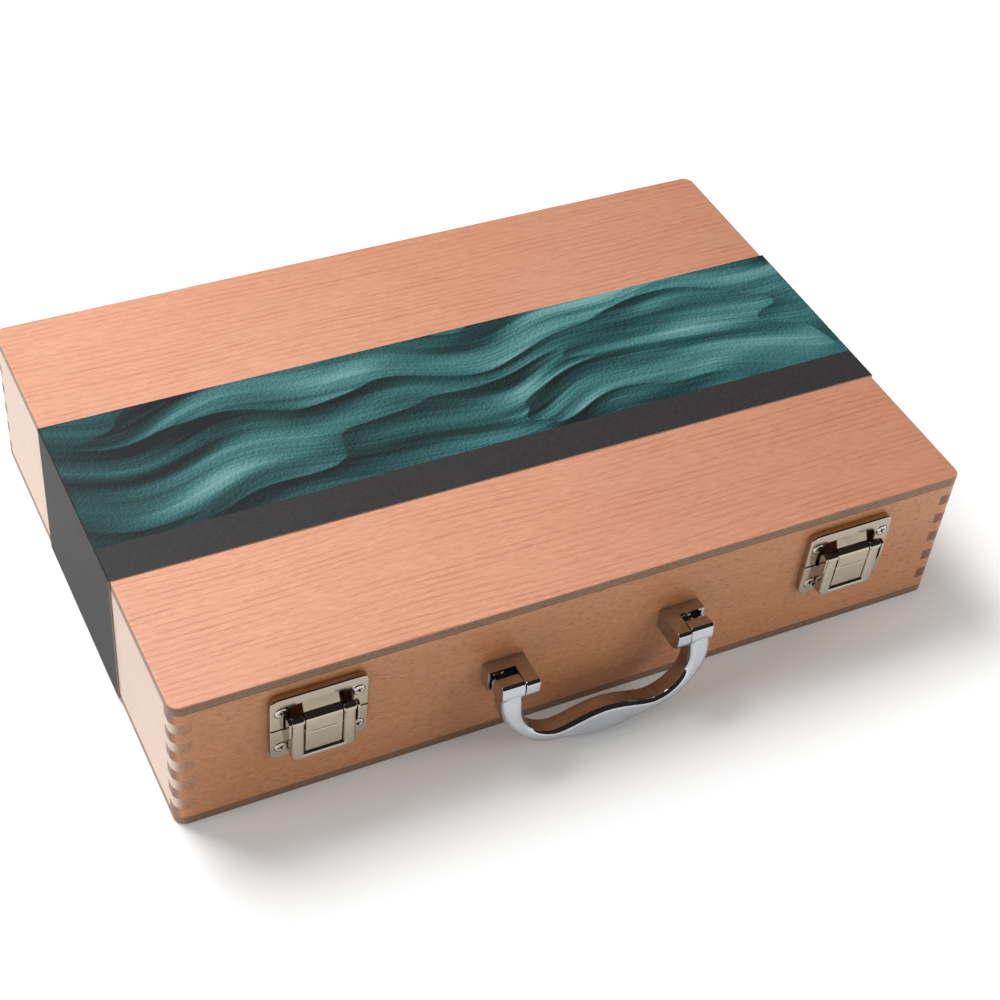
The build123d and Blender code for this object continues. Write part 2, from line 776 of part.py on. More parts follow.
def make_hinges():
    # Two hinges on the back, and their screws.
    for name, x in (("left", -hinge_x), ("right", hinge_x)):
        save(f"hinge_{name}_base_leaf", hinge_leaf(x, False))
        save(f"hinge_{name}_lid_leaf", hinge_leaf(x, True))
        save(f"hinge_{name}_pin", hinge_pin(x))
    screw = cross_screw(hinge_screw_head, hinge_screw_radius, hinge_screw_bite, leaf_thickness,
                        hinge_screw_head_high)
    save("hinge_base_screws", *[on_back(screw, x, z) for x, z in hinge_screw_places(hinge_screw_z_base)])
    save("hinge_lid_screws", *[on_back(screw, x, z) for x, z in hinge_screw_places(hinge_screw_z_lid)])


def make_latches():
    # Two toggle latches on the front, and their screws.
    screw = cross_screw(latch_screw_head, latch_screw_radius, latch_screw_bite, head_seat,
                        latch_screw_head_high)
    catch_screws = []
    keeper_screws = []
    for name, x in (("left", fittings_shift - latch_x), ("right", fittings_shift + latch_x)):
        place = Pos(x, 0, 0)
        save(f"latch_{name}_catch_plate", place * catch_plate())
        save(f"latch_{name}_keeper_plate", place * keeper_plate())
        save(f"latch_{name}_lever", place * latch_lever())
        save(f"latch_{name}_lever_pins", *[place * pin for pin in lever_pins()])
        save(f"latch_{name}_tongue", place * latch_tongue())
        save(f"latch_{name}_tongue_pin", place * tongue_pin())
        for side in (-1, 1):
            catch_screws.append(on_front(screw, x + side * latch_screw_x, catch_screw_z))
            keeper_screws.append(on_front(screw, x + side * latch_screw_x, keeper_screw_z))
    save("latch_catch_screws", *catch_screws)
    save("latch_keeper_screws", *keeper_screws)


def make_handle():
    # Two posts, their screws and pins, and the swinging bar.
    place = Pos(fittings_shift, 0, 0)
    save("handle_post_right", place * handle_post())
    save("handle_post_left", place * mirrored(handle_post()))
    save("handle_pins", place * mirrored(handle_pin()), place * handle_pin())
    screw = cross_screw(handle_screw_head, handle_screw_radius, handle_screw_bite, pocket_floor,
                        handle_screw_head_high)
    spots = [fittings_shift + side * handle_screw_x() for side in (-1, 1)]
    save("handle_screws", *[on_front(screw, x, post_centre_z) for x in spots])
    save("handle_bar", handle_bar())


def make_band():
    # The card band: a strip over the lid with a flap down each side.
    inner = side_x + band_side_gap
    outer = inner + band_card
    half = band_width / 2
    strip = block(-outer, outer, -half, half, band_foot, case_height + band_card)
    strip = strip - block(-inner, inner, -half, half, band_foot, case_height)
    folds = strip.edges().filter_by(Axis.Y)
    folds = folds.filter_by_position(Axis.Z, case_height + band_card - hair, case_height + band_card + hair)
    save("card_band", one(fillet(folds, band_fold_round)))


os.makedirs("parts", exist_ok=True)
make_base()
make_lid()
make_hinges()
make_latches()
make_handle()
make_band()
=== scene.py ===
# %% [markdown]
# A wooden paint box in Blender.
# The shapes come from the CAD model, which is loaded as a fixed frame. This lesson gives every piece
# its finish, and then lights and photographs the box. All lengths are in metres, as Blender has them.

import math

import bpy
from mathutils import Matrix, Vector


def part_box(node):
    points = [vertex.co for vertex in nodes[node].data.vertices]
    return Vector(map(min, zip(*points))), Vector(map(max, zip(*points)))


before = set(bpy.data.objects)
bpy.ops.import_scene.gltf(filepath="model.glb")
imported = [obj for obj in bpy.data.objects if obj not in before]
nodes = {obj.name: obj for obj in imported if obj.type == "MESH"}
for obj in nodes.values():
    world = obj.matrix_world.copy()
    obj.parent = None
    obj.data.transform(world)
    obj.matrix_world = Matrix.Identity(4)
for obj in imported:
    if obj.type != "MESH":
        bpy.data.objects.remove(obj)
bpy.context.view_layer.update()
print("nodes in the frame:", len(nodes))

# %% [markdown]
# The camera comes first, because everything else is judged through it. It stands where the
# photographer stood: to the left of the box, a metre away and well above it. The picture was also
# turned by a few degrees and cropped off centre, which a roll about the line of sight and a small
# lens shift give back.

# %% camera
turn_to_right = 29.18
look_down = 45.53
roll = 5.64
standpoint = (-0.34416, -0.62615, 0.68736)
camera_data = bpy.data.cameras.new("camera")
camera_data.sensor_width = 36
camera_data.lens = 68.76
camera_data.shift_x = 0.0363
camera_data.shift_y = 0.0726
camera_data.clip_start = 0.05
camera = bpy.data.objects.new("camera", camera_data)
heading = Matrix.Rotation(math.radians(-turn_to_right), 4, "Z")
pitch = Matrix.Rotation(math.radians(90 - look_down), 4, "X")
tilt = Matrix.Rotation(math.radians(roll), 4, "Z")
camera.matrix_world = Matrix.Translation(standpoint) @ heading @ pitch @ tilt
bpy.context.scene.collection.objects.link(camera)
bpy.context.scene.camera = camera
print("camera", round(camera_data.lens, 1), "mm,", round(camera.location.length, 2), "m away")

# %% [markdown]
# Colours are written the way a paint chart or a web page gives them, as sRGB hex. Shaders calculate
# with linear light, so one function turns a hex colour into linear values. A second one adds a node
# with its settings and links. Two more start a material and put it on pieces of the box.

# %% helpers for materials


def linear(hex_colour):
    # The linear red, green, blue and alpha of an sRGB hex colour.
    parts = [int(hex_colour[i:i + 2], 16) / 255 for i in (0, 2, 4)]
    return [p / 12.92 if p <= 0.04045 else ((p + 0.055) / 1.055) ** 2.4 for p in parts] + [1.0]


def add(tree, kind, settings=None, stops=None, **inputs):
    # Adds one node. An input is a value, or another node's socket, which is linked. A name such as
    # _6 is an input's number, for inputs that share a name. Stops are a ramp's places and colours.
    node = tree.nodes.new(kind)
    for name, value in (settings or {}).items():
        setattr(node, name, value)
    if stops:
        elements = node.color_ramp.elements
        elements.remove(elements[1])
        elements[0].position = stops[0][0]
        elements[0].color = linear(stops[0][1])
        for position, hex_colour in stops[1:]:
            elements.new(position).color = linear(hex_colour)
    for name, value in inputs.items():
        key = int(name[1:]) if name[0] == "_" and name[1:].isdigit() else name.replace("_", " ")
        socket = node.inputs[key]
        if isinstance(value, bpy.types.NodeSocket):
            tree.links.new(value, socket)
        else:
            socket.default_value = value
    return node


def new_material(name):
    # An empty material with its Principled shader and its output joined up.
    material = bpy.data.materials.new(name)
    material.use_nodes = True
    tree = material.node_tree
    tree.nodes.clear()
    shader = tree.nodes.new("ShaderNodeBsdfPrincipled")
    output = tree.nodes.new("ShaderNodeOutputMaterial")
    tree.links.new(shader.outputs["BSDF"], output.inputs["Surface"])
    return material, tree, shader


def dress(material, *names):
    # Puts a material on CAD nodes, in place of the plain one they came with, and says so.
    for name in names:
        nodes[name].data.materials.clear()
        nodes[name].data.materials.append(material)
    print("pieces in", material.name + ":", len(names))


print("the veneer's light colour in linear light:", [round(v, 3) for v in linear("e8ab8c")[:3]])

# %% [markdown]
# Beech is a pale, pinkish, close-grained wood. Its eye-catching marks are small: short dark flecks
# that run with the grain, 2 to 6 mm long, and soft bands where the yearly rings come to the surface.
# A picture of wood would need its seams hidden at every corner, so noise stretched along the grain
# makes both. The board's own space is used, so the grain stays put, and one function is given the
# direction of the grain, because the sides of the box run along Y.
# Where a board is cut across, the pores stand on end and soak up varnish, so end grain is darker.
# The Normal of the surface tells it from side grain, which also shades the round corners as on real
# wood. The pores are drawn about ten times as coarse as they are, so that they show. The boards on
# the left are painted the palest, with faint flecks, paler than the same beech on the right: painted
# light for the bright lamp on that side.

# %% beech
along_x, along_y = 0, 1
fleck_long, fleck_wide = 0.0042, 0.00042
streak_long, streak_wide = 0.09, 0.0016
ring_long, ring_wide = 0.28, 0.02
cloud_size = 0.1111
pore_size = 0.000909
streak_weight = 0.34
cloud_weight = 0.3
tone_spread = 0.17


def beech(name, grain_axis, light, dark, end_light, end_dark, coat, fleck_strength, ring_strength=0.5):
    # Beech with its grain along grain_axis. A coat of 0 is bare wood, and more is varnish or oil.
    material, tree, shader = new_material(name)
    where = add(tree, "ShaderNodeTexCoord")
    fleck_scale = [1 / fleck_wide] * 3
    fleck_scale[grain_axis] = 1 / fleck_long
    ring_scale = [1 / ring_wide] * 3
    ring_scale[grain_axis] = 1 / ring_long
    streak_scale = [1 / streak_wide] * 3
    streak_scale[grain_axis] = 1 / streak_long
    ring_place = add(tree, "ShaderNodeMapping", Vector=where.outputs["Object"], Scale=ring_scale)
    rings = add(tree, "ShaderNodeTexNoise", Vector=ring_place.outputs[0], Scale=1, Detail=3,
                Roughness=0.55)
    streak_place = add(tree, "ShaderNodeMapping", Vector=where.outputs["Object"], Scale=streak_scale)
    streaks = add(tree, "ShaderNodeTexNoise", Vector=streak_place.outputs[0], Scale=1, Detail=4,
                  Roughness=0.6)
    fleck_place = add(tree, "ShaderNodeMapping", Vector=where.outputs["Object"], Scale=fleck_scale)
    flecks = add(tree, "ShaderNodeTexNoise", Vector=fleck_place.outputs[0], Scale=1, Detail=2, Roughness=0.5)
    cloud = add(tree, "ShaderNodeTexNoise", Vector=where.outputs["Object"], Scale=1 / cloud_size, Detail=2)
    tone = add(tree, "ShaderNodeMath", {"operation": "MULTIPLY"}, _0=rings.outputs["Fac"], _1=ring_strength)
    tone = add(tree, "ShaderNodeMath", {"operation": "MULTIPLY_ADD"}, _0=streaks.outputs["Fac"],
               _1=streak_weight, _2=tone.outputs[0])
    tone = add(tree, "ShaderNodeMath", {"operation": "MULTIPLY_ADD"}, _0=cloud.outputs["Fac"],
               _1=cloud_weight, _2=tone.outputs[0])
    middle = 0.5 * (ring_strength + streak_weight + cloud_weight)
    spread = add(tree, "ShaderNodeMapRange", Value=tone.outputs[0], From_Min=middle - tone_spread,
                 From_Max=middle + tone_spread)
    side_grain = add(tree, "ShaderNodeValToRGB", stops=[(0.0, dark), (1.0, light)], Fac=spread.outputs[0])
    fleck = add(tree, "ShaderNodeMapRange", Value=flecks.outputs["Fac"], From_Min=0.36, From_Max=0.47,
                To_Min=fleck_strength, To_Max=0)
    flecked = add(tree, "ShaderNodeMix", {"data_type": "RGBA", "blend_type": "MULTIPLY"},
                  Factor=fleck.outputs[0], _6=side_grain.outputs[0], _7=linear("9a6a4c"))
    pores = add(tree, "ShaderNodeTexNoise", Vector=where.outputs["Object"], Scale=1 / pore_size, Detail=2)
    pore = add(tree, "ShaderNodeMapRange", Value=pores.outputs["Fac"], From_Min=0.35, From_Max=0.65)
    end_grain = add(tree, "ShaderNodeValToRGB", stops=[(0.0, end_dark), (1.0, end_light)],
                    Fac=pore.outputs[0])
    normal = add(tree, "ShaderNodeSeparateXYZ", _0=where.outputs["Normal"])
    along = add(tree, "ShaderNodeMath", {"operation": "ABSOLUTE"}, _0=normal.outputs[grain_axis])
    ends = add(tree, "ShaderNodeMapRange", Value=along.outputs[0], From_Min=0.55, From_Max=0.95)
    colour = add(tree, "ShaderNodeMix", {"data_type": "RGBA"}, Factor=ends.outputs[0], _6=flecked.outputs[2],
                 _7=end_grain.outputs[0])
    tree.links.new(colour.outputs[2], shader.inputs["Base Color"])
    gloss = add(tree, "ShaderNodeMapRange", Value=streaks.outputs["Fac"], To_Min=0.38, To_Max=0.52)
    tree.links.new(gloss.outputs[0], shader.inputs["Roughness"])
    height = add(tree, "ShaderNodeMath", {"operation": "SUBTRACT"}, _0=streaks.outputs["Fac"],
                 _1=fleck.outputs[0])
    bump = add(tree, "ShaderNodeBump", Strength=0.12, Distance=0.0003, Height=height.outputs[0])
    tree.links.new(bump.outputs[0], shader.inputs["Normal"])
    shader.inputs["IOR"].default_value = 1.5
    shader.inputs["Coat Weight"].default_value = coat
    shader.inputs["Coat Roughness"].default_value = 0.3
    return material


honey_tones = {"light": "d69668", "dark": "bf7d51", "end_light": "8a5641", "end_dark": "724331"}
# Painted light: the left boards are the same beech as the right ones, painted pale, and given faint flecks
# below, where the left lamp falls strongest.
painted_light_pale_tones = {"light": "e2c8b6", "dark": "d6bba6", "end_light": "b98a6c", "end_dark": "a57657"}
beech_front = beech("varnished_beech_along_front", along_x, **honey_tones, coat=0.15,
                    fleck_strength=0.45, ring_strength=0.3)
beech_left = beech("varnished_beech_left_side_painted_lighter", along_y, **painted_light_pale_tones, coat=0.1, fleck_strength=0.1,
                   ring_strength=0.3)
beech_right = beech("varnished_beech_right_side", along_y, **honey_tones, coat=0.15,
                    fleck_strength=0.45, ring_strength=0.3)
front_and_back = [f"{part}_{side}_board" for part in ("base", "lid") for side in ("front", "back")]
dress(beech_front, *front_and_back)
dress(beech_left, "base_left_board", "lid_left_board")
dress(beech_right, "base_right_board", "lid_right_board")

# %% [markdown]
# The top and bottom are plywood: thin layers glued with their grain crossed, under a beech veneer.
# From above only the veneer shows, salmon pink with short dark dashes and faint rings along X. It is
# painted a shade darker to the right as painted shade, for the light that falls weaker there. Along
# the edge the layers show as dark and light lines. They could be slabs of their own, but they lie
# flush, so stripes by height in the colour are enough. The edge's colour is again chosen by the
# surface normal: an edge is where it is level.

# %% beech-veneered plywood
layer_thickness = 0.00125
ring_gap = 0.0037
wander_long, wander_wide, wander_reach = 0.22, 0.07, 0.016
gap_long, gap_wide, gap_reach = 0.4, 0.009, 0.004
fine_long, fine_wide = 0.011, 0.0008
fade_long, fade_wide = 0.05, 0.012
dash_long, dash_wide = 0.005, 0.0006
line_weight = 0.38
fine_weight = -0.45
dash_weight = -0.85
darkest_tone, lightest_tone = -0.16, -0.89
patch_size = 0.1667
speck_size = 0.002381


def plywood(name, light, dark, coat):
    # Veneered plywood with the veneer's grain along X.
    material, tree, shader = new_material(name)
    where = add(tree, "ShaderNodeTexCoord")
    wander_place = add(tree, "ShaderNodeMapping", Vector=where.outputs["Object"],
                       Scale=(1 / wander_long, 1 / wander_wide, 1))
    wander = add(tree, "ShaderNodeTexNoise", Vector=wander_place.outputs[0], Scale=1, Detail=2)
    gap_place = add(tree, "ShaderNodeMapping", Vector=where.outputs["Object"],
                    Scale=(1 / gap_long, 1 / gap_wide, 1))
    gap = add(tree, "ShaderNodeTexNoise", Vector=gap_place.outputs[0], Scale=1, Detail=2)
    axes = add(tree, "ShaderNodeSeparateXYZ", _0=where.outputs["Object"])
    across = add(tree, "ShaderNodeMath", {"operation": "MULTIPLY_ADD"}, _0=wander.outputs["Fac"],
                 _1=wander_reach, _2=axes.outputs["Y"])
    across = add(tree, "ShaderNodeMath", {"operation": "MULTIPLY_ADD"}, _0=gap.outputs["Fac"],
                 _1=gap_reach, _2=across.outputs[0])
    turn = add(tree, "ShaderNodeMath", {"operation": "MULTIPLY"}, _0=across.outputs[0],
               _1=2 * math.pi / ring_gap)
    ring = add(tree, "ShaderNodeMath", {"operation": "SINE"}, _0=turn.outputs[0])
    line = add(tree, "ShaderNodeMapRange", {"interpolation_type": "SMOOTHSTEP"}, Value=ring.outputs[0],
               From_Min=0.1, From_Max=1.0)
    fine_place = add(tree, "ShaderNodeMapping", Vector=where.outputs["Object"],
                     Scale=(1 / fine_long, 1 / fine_wide, 1 / fine_wide))
    fine = add(tree, "ShaderNodeTexNoise", Vector=fine_place.outputs[0], Scale=1, Detail=3, Roughness=0.6)
    fade_place = add(tree, "ShaderNodeMapping", Vector=where.outputs["Object"],
                     Scale=(1 / fade_long, 1 / fade_wide, 1))
    fade = add(tree, "ShaderNodeTexNoise", Vector=fade_place.outputs[0], Scale=1, Detail=2)
    broken = add(tree, "ShaderNodeMapRange", Value=fade.outputs["Fac"], From_Min=0.34, From_Max=0.68)
    depth = add(tree, "ShaderNodeMath", {"operation": "MULTIPLY"}, _0=line.outputs[0], _1=broken.outputs[0])
    depth = add(tree, "ShaderNodeMath", {"operation": "MULTIPLY"}, _0=depth.outputs[0], _1=line_weight)
    dash_place = add(tree, "ShaderNodeMapping", Vector=where.outputs["Object"],
                     Scale=(1 / dash_long, 1 / dash_wide, 1 / dash_wide))
    dash = add(tree, "ShaderNodeTexNoise", Vector=dash_place.outputs[0], Scale=1, Detail=2)
    tone = add(tree, "ShaderNodeMath", {"operation": "MULTIPLY_ADD"}, _0=fine.outputs["Fac"],
               _1=fine_weight, _2=depth.outputs[0])
    tone = add(tree, "ShaderNodeMath", {"operation": "MULTIPLY_ADD"}, _0=dash.outputs["Fac"],
               _1=dash_weight, _2=tone.outputs[0])
    spread = add(tree, "ShaderNodeMapRange", Value=tone.outputs[0], From_Min=lightest_tone,
                 From_Max=darkest_tone)
    streak = add(tree, "ShaderNodeValToRGB", stops=[(0.0, light), (1.0, dark)], Fac=spread.outputs[0])
    patch = add(tree, "ShaderNodeTexNoise", Vector=where.outputs["Object"], Scale=1 / patch_size, Detail=2)
    pink = add(tree, "ShaderNodeMapRange", Value=patch.outputs["Fac"], From_Min=0.35, From_Max=0.7, To_Min=0,
               To_Max=0.25)
    tinted = add(tree, "ShaderNodeMix", {"data_type": "RGBA", "blend_type": "MULTIPLY"},
                 Factor=pink.outputs[0], _6=streak.outputs[0], _7=linear("e9cfc4"))
    # Painted shade: the veneer's colour is darkened towards the right, where less light falls on it.
    to_right = add(tree, "ShaderNodeMapRange", Value=axes.outputs["X"], From_Min=-0.14, From_Max=0.2)
    darker = add(tree, "ShaderNodeMix", {"data_type": "RGBA", "blend_type": "MULTIPLY"},
                 Factor=to_right.outputs[0], _6=tinted.outputs[2], _7=linear("e1dfdc"))
    layer = add(tree, "ShaderNodeMath", {"operation": "MULTIPLY"}, _0=axes.outputs["Z"],
                _1=math.pi / layer_thickness)
    stripe = add(tree, "ShaderNodeMath", {"operation": "SINE"}, _0=layer.outputs[0])
    grey = add(tree, "ShaderNodeTexNoise", Vector=where.outputs["Object"], Scale=1 / speck_size, Detail=3)
    mixed = add(tree, "ShaderNodeMath", {"operation": "MULTIPLY_ADD"}, _0=stripe.outputs[0], _1=0.1,
                _2=grey.outputs["Fac"])
    edge = add(tree, "ShaderNodeValToRGB", stops=[(0.2, "775a42"), (0.8, "927358")], Fac=mixed.outputs[0])
    normal = add(tree, "ShaderNodeSeparateXYZ", _0=where.outputs["Normal"])
    up = add(tree, "ShaderNodeMath", {"operation": "ABSOLUTE"}, _0=normal.outputs["Z"])
    flat = add(tree, "ShaderNodeMapRange", Value=up.outputs[0], From_Min=0.35, From_Max=0.8)
    colour = add(tree, "ShaderNodeMix", {"data_type": "RGBA"}, Factor=flat.outputs[0], _6=edge.outputs[0],
                 _7=darker.outputs[2])
    tree.links.new(colour.outputs[2], shader.inputs["Base Color"])
    gloss = add(tree, "ShaderNodeMapRange", Value=fine.outputs["Fac"], To_Min=0.4, To_Max=0.52)
    tree.links.new(gloss.outputs[0], shader.inputs["Roughness"])
    bump = add(tree, "ShaderNodeBump", Strength=0.1, Distance=0.0003, Height=tone.outputs[0])
    tree.links.new(bump.outputs[0], shader.inputs["Normal"])
    shader.inputs["IOR"].default_value = 1.5
    shader.inputs["Coat Weight"].default_value = coat
    shader.inputs["Coat Roughness"].default_value = 0.3
    return material


salmon_plywood = plywood("beech_veneered_plywood", light="e8ab8c", dark="c88669", coat=0.1)
dress(salmon_plywood, "lid_top_panel", "base_bottom_panel")

# %% [markdown]
# Inside, the dividers and rails are sanded limewood without varnish, and the palette and the turn
# buttons are oiled beech. Both have flecks and soft bands as the boards do, so the beech function
# serves again, with yellower colours: without a coat for bare wood, and with a thin one for the oil.

# %% wood inside
lime_tones = {"light": "e0c49c", "dark": "c9a87c", "end_light": "b8946a", "end_dark": "a07c54"}
oiled_tones = {"light": "c99a68", "dark": "a97846", "end_light": "946638", "end_dark": "7d5430"}
limewood_x = beech("sanded_limewood_along_x", along_x, **lime_tones, coat=0.0, fleck_strength=0.15)
limewood_y = beech("sanded_limewood_along_y", along_y, **lime_tones, coat=0.0, fleck_strength=0.15)
oiled_beech = beech("oiled_beech_palette", along_x, **oiled_tones, coat=0.2, fleck_strength=0.3)
dress(limewood_x, "long_divider", "palette_rail_front", "palette_rail_back")
dress(limewood_y, "front_divider_left", "front_divider_right", "back_divider")
dress(oiled_beech, "palette", "turn_button_front", "turn_button_back")

# %% [markdown]
# The latches are pressed steel with nickel plate. Nickel is a warm, slightly yellow metal. Plating
# on pressed steel isn't a mirror: it has a satin blur, faint smudges and a slight ripple, which
# platers call orange peel. They could be painted by hand, but noise has no seams and fits every
# small piece. The hinges are the same, and all the screws are smoother and brighter.

# %% nickel plate
peel_wide = 0.001429
peel_depth = 0.0002


def plated_metal(name, tones, smoothest, roughest, smudge_size, bump_strength):
    # A plated metal whose tone and roughness drift in patches of smudge_size.
    material, tree, shader = new_material(name)
    where = add(tree, "ShaderNodeTexCoord")
    smudge = add(tree, "ShaderNodeTexNoise", Vector=where.outputs["Object"], Scale=1 / smudge_size, Detail=4,
                 Roughness=0.6)
    rough = add(tree, "ShaderNodeMapRange", Value=smudge.outputs["Fac"], From_Min=0.3, From_Max=0.7,
                To_Min=smoothest, To_Max=roughest)
    tree.links.new(rough.outputs[0], shader.inputs["Roughness"])
    tint = add(tree, "ShaderNodeValToRGB", stops=[(0.3, tones[0]), (0.7, tones[1])],
               Fac=smudge.outputs["Fac"])
    tree.links.new(tint.outputs[0], shader.inputs["Base Color"])
    orange_peel = add(tree, "ShaderNodeTexNoise", Vector=where.outputs["Object"],
                      Scale=1 / peel_wide, Detail=2)
    bump = add(tree, "ShaderNodeBump", Strength=bump_strength, Distance=peel_depth,
               Height=orange_peel.outputs["Fac"])
    tree.links.new(bump.outputs[0], shader.inputs["Normal"])
    shader.inputs["Metallic"].default_value = 1.0
    return material


nickel = plated_metal("nickel_plated_steel", ("b4a896", "bdb1a0"), smoothest=0.13, roughest=0.2,
                      smudge_size=0.009, bump_strength=0.03)
bright_nickel = plated_metal("nickel_plated_screws", ("cdc5b8", "d8d1c5"), smoothest=0.1, roughest=0.16,
                             smudge_size=0.003, bump_strength=0.02)
latch_pieces = [name for name in nodes if name.startswith("latch_") and "screws" not in name]
hinge_pieces = [name for name in nodes if name.startswith("hinge_") and "screws" not in name]
dress(nickel, *latch_pieces, *hinge_pieces)
dress(bright_nickel, *[name for name in nodes if name.endswith("screws")])

# %% [markdown]
# The handle and its posts are die cast zinc with polished chrome plate, a cool mirror. All that a
# mirror shows is its surroundings, so the dark and white parts of the studio matter more than its
# colour. A trace of roughness and a very slight ripple keep it from looking like glass.

# %% chrome
chrome = plated_metal("chrome_plated_zinc", ("b9bcc0", "c1c4c8"), smoothest=0.04, roughest=0.07,
                      smudge_size=0.012, bump_strength=0.01)
dress(chrome, "handle_bar", "handle_post_left", "handle_post_right", "handle_pins")

# %% [markdown]
# The band is printed card. The print shows thick teal oil paint swept by a palette knife: broad
# folds with sharp creases, finer ridges that follow them, and a leathery skin. A picture file could
# carry it, but noise needs none and stays sharp close up. It is drawn as a height, and then lit as
# an engraver does it, by the difference between the height here and a little way off: slopes that
# face the light come out pale, those that turn away nearly black.
# A charcoal strip runs along the front edge, and the flaps are plain charcoal, a shade darker. The
# side towards the wood is bare grey board. The surface normal and the place tell the two apart.

# %% printed card
band_low, band_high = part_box("card_band")
strip_wide = 0.021
card_edge = 0.0007
fold_wide, fold_long = 0.055, 0.2
ridge_wide, ridge_long = 0.0042, 0.1
skin_grain = 0.0011
drift_wide, drift_reach = 0.1429, 0.1
ridge_height = 0.019
skin_height = 0.011
light_step = (0.0009, -0.0007, 0)
sweep_turn = math.radians(31)
relief_gain = 26
middle_tone = 0.43
crease_light = 1.2
paler_to_right = 0.65
fibre_size = 0.001111


def paint_height(tree, place):
    # The height of the paint at a place on the card, and the broad folds alone.
    drift = add(tree, "ShaderNodeTexNoise", Vector=place, Scale=1 / drift_wide, Detail=1)
    pushed = add(tree, "ShaderNodeVectorMath", {"operation": "MULTIPLY_ADD"}, _0=drift.outputs["Color"],
                 _1=(drift_reach, drift_reach, 0), _2=place)
    fold_place = add(tree, "ShaderNodeMapping", Vector=pushed.outputs[0], Rotation=(0, 0, sweep_turn),
                     Scale=(1 / fold_long, 1 / fold_wide, 1))
    fold = add(tree, "ShaderNodeTexNoise", Vector=fold_place.outputs[0], Scale=1, Detail=2, Roughness=0.4)
    from_middle = add(tree, "ShaderNodeMath", {"operation": "SUBTRACT"}, _0=fold.outputs["Fac"], _1=0.5)
    crease = add(tree, "ShaderNodeMath", {"operation": "ABSOLUTE"}, _0=from_middle.outputs[0])
    ridge_place = add(tree, "ShaderNodeMapping", Vector=pushed.outputs[0], Rotation=(0, 0, sweep_turn),
                      Scale=(1 / ridge_long, 1 / ridge_wide, 1))
    ridge = add(tree, "ShaderNodeTexNoise", Vector=ridge_place.outputs[0], Scale=1, Detail=2, Roughness=0.5)
    skin = add(tree, "ShaderNodeTexNoise", Vector=place, Scale=1 / skin_grain, Detail=2, Roughness=0.5)
    height = add(tree, "ShaderNodeMath", {"operation": "MULTIPLY_ADD"}, _0=ridge.outputs["Fac"],
                 _1=ridge_height, _2=crease.outputs[0])
    height = add(tree, "ShaderNodeMath", {"operation": "MULTIPLY_ADD"}, _0=skin.outputs["Fac"],
                 _1=skin_height, _2=height.outputs[0])
    return height.outputs[0], crease.outputs[0]


